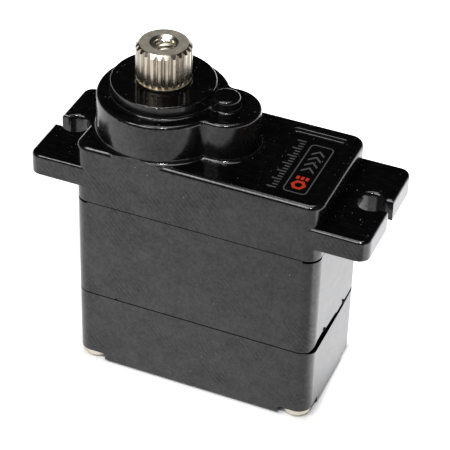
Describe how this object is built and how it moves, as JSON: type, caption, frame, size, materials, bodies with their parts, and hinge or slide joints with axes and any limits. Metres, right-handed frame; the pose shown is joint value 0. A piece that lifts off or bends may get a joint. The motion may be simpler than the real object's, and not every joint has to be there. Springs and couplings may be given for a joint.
{
  "type": "servo motor",
  "caption": "Micro metal-gear rotary servo: three-part black case with slotted mounting tabs, splined output shaft, gear train, motor, feedback potentiometer and board.",
  "frame": {"origin": "on the output shaft's axis, on the underside of the case", "axes": "+Z along the output shaft, out of the case; +X along the case from the output shaft towards the motor; +Y across the case"},
  "size_m": [0.0315, 0.0118, 0.0324],
  "materials": {
    "case_plastic": "black glass-filled nylon, glossy, fine moulding texture",
    "label_film": null,
    "screw_steel": "zinc plated",
    "grommet_rubber": "black soft rubber",
    "shaft_metal": "nickel-plated, bright, fine turning marks",
    "gear_brass": "hobbed brass",
    "gear_steel": "sintered steel",
    "bearing_steel": "ground and polished",
    "bush_bronze": "oil-filled sintered bronze",
    "pin_steel": "hardened ground pin",
    "can_steel": "nickel-plated drawn can",
    "cap_nylon": "natural white nylon",
    "magnet_ferrite": "dark sintered ferrite",
    "core_steel": "lamination stack with a green insulating coat",
    "winding_copper": "enamelled copper wire",
    "contact_copper": "bare copper",
    "pot_plastic": "dark blue moulded plastic",
    "pot_rotor_plastic": "white acetal",
    "track_board": "phenolic disc with carbon film rings",
    "terminal_tin": "tinned",
    "wire_insulation": "red PVC insulation",
    "board_green": "green solder mask",
    "chip_black": "moulded epoxy",
    "ceramic_tan": "ceramic"
  },
  "bodies": {
    "case": {"top_case": "case_plastic", "middle_case": "case_plastic", "bottom_case": "case_plastic", "label": "label_film", "case_screws": "screw_steel", "lead_grommet": "grommet_rubber", "bearing_outer_race": "bearing_steel", "bearing_shields": "bearing_steel", "output_bush": "bush_bronze", "idler_pin": "pin_steel", "idler_washers": "pin_steel", "motor_can": "can_steel", "motor_end_cap": "cap_nylon", "motor_bushes": "bush_bronze", "motor_magnets": "magnet_ferrite", "motor_brushes": "contact_copper", "motor_terminals": "terminal_tin", "pot_housing": "pot_plastic", "pot_track": "track_board", "pot_terminals": "terminal_tin", "pot_wires": "wire_insulation", "circuit_board": "board_green", "controller_chip": "chip_black", "driver_chips": "chip_black", "board_capacitors": "ceramic_tan", "board_resistors": "chip_black", "resonator": "can_steel"},
    "output": {"output_gear": "shaft_metal", "bearing_inner_race": "bearing_steel", "pot_rotor": "pot_rotor_plastic", "pot_wiper": "contact_copper"},
    "ball_ring": {"bearing_balls": "bearing_steel", "bearing_cage": "gear_brass"},
    "gear_three": {"third_gear": "gear_steel"},
    "gear_two": {"second_gear": "gear_brass"},
    "gear_one": {"first_gear": "gear_brass"},
    "rotor": {"motor_shaft": "pin_steel", "motor_pinion": "gear_brass", "motor_armature": "core_steel", "motor_windings": "winding_copper", "motor_commutator": "contact_copper", "commutator_sleeve": "cap_nylon"}
  },
  "joints": [
    {"name": "output_turn", "type": "hinge", "parent": "case", "child": "output", "pos_m": [0, 0, 0.02], "axis": [0, 0, 1], "range_deg": [-90, 90]},
    {"name": "ball_ring_turn", "type": "hinge", "parent": "case", "child": "ball_ring", "pos_m": [0, 0, 0.02], "axis": [0, 0, 1], "continuous": true},
    {"name": "third_gear_turn", "type": "hinge", "parent": "case", "child": "gear_three", "pos_m": [0.00585, 0, 0.02], "axis": [0, 0, 1], "continuous": true},
    {"name": "second_gear_turn", "type": "hinge", "parent": "case", "child": "gear_two", "pos_m": [0, 0, 0.02], "axis": [0, 0, 1], "continuous": true},
    {"name": "first_gear_turn", "type": "hinge", "parent": "case", "child": "gear_one", "pos_m": [0.00585, 0, 0.02], "axis": [0, 0, 1], "continuous": true},
    {"name": "rotor_turn", "type": "hinge", "parent": "case", "child": "rotor", "pos_m": [0.01135, 0, 0.02], "axis": [0, 0, 1], "continuous": true}
  ],
  "couplings": [
    {"joint": "ball_ring_turn", "follows": "output_turn", "ratio": 0.41538},
    {"joint": "third_gear_turn", "follows": "output_turn", "ratio": -2.9},
    {"joint": "second_gear_turn", "follows": "output_turn", "ratio": 6.525},
    {"joint": "first_gear_turn", "follows": "output_turn", "ratio": -18.922},
    {"joint": "rotor_turn", "follows": "output_turn", "ratio": 73.588}
  ]
}
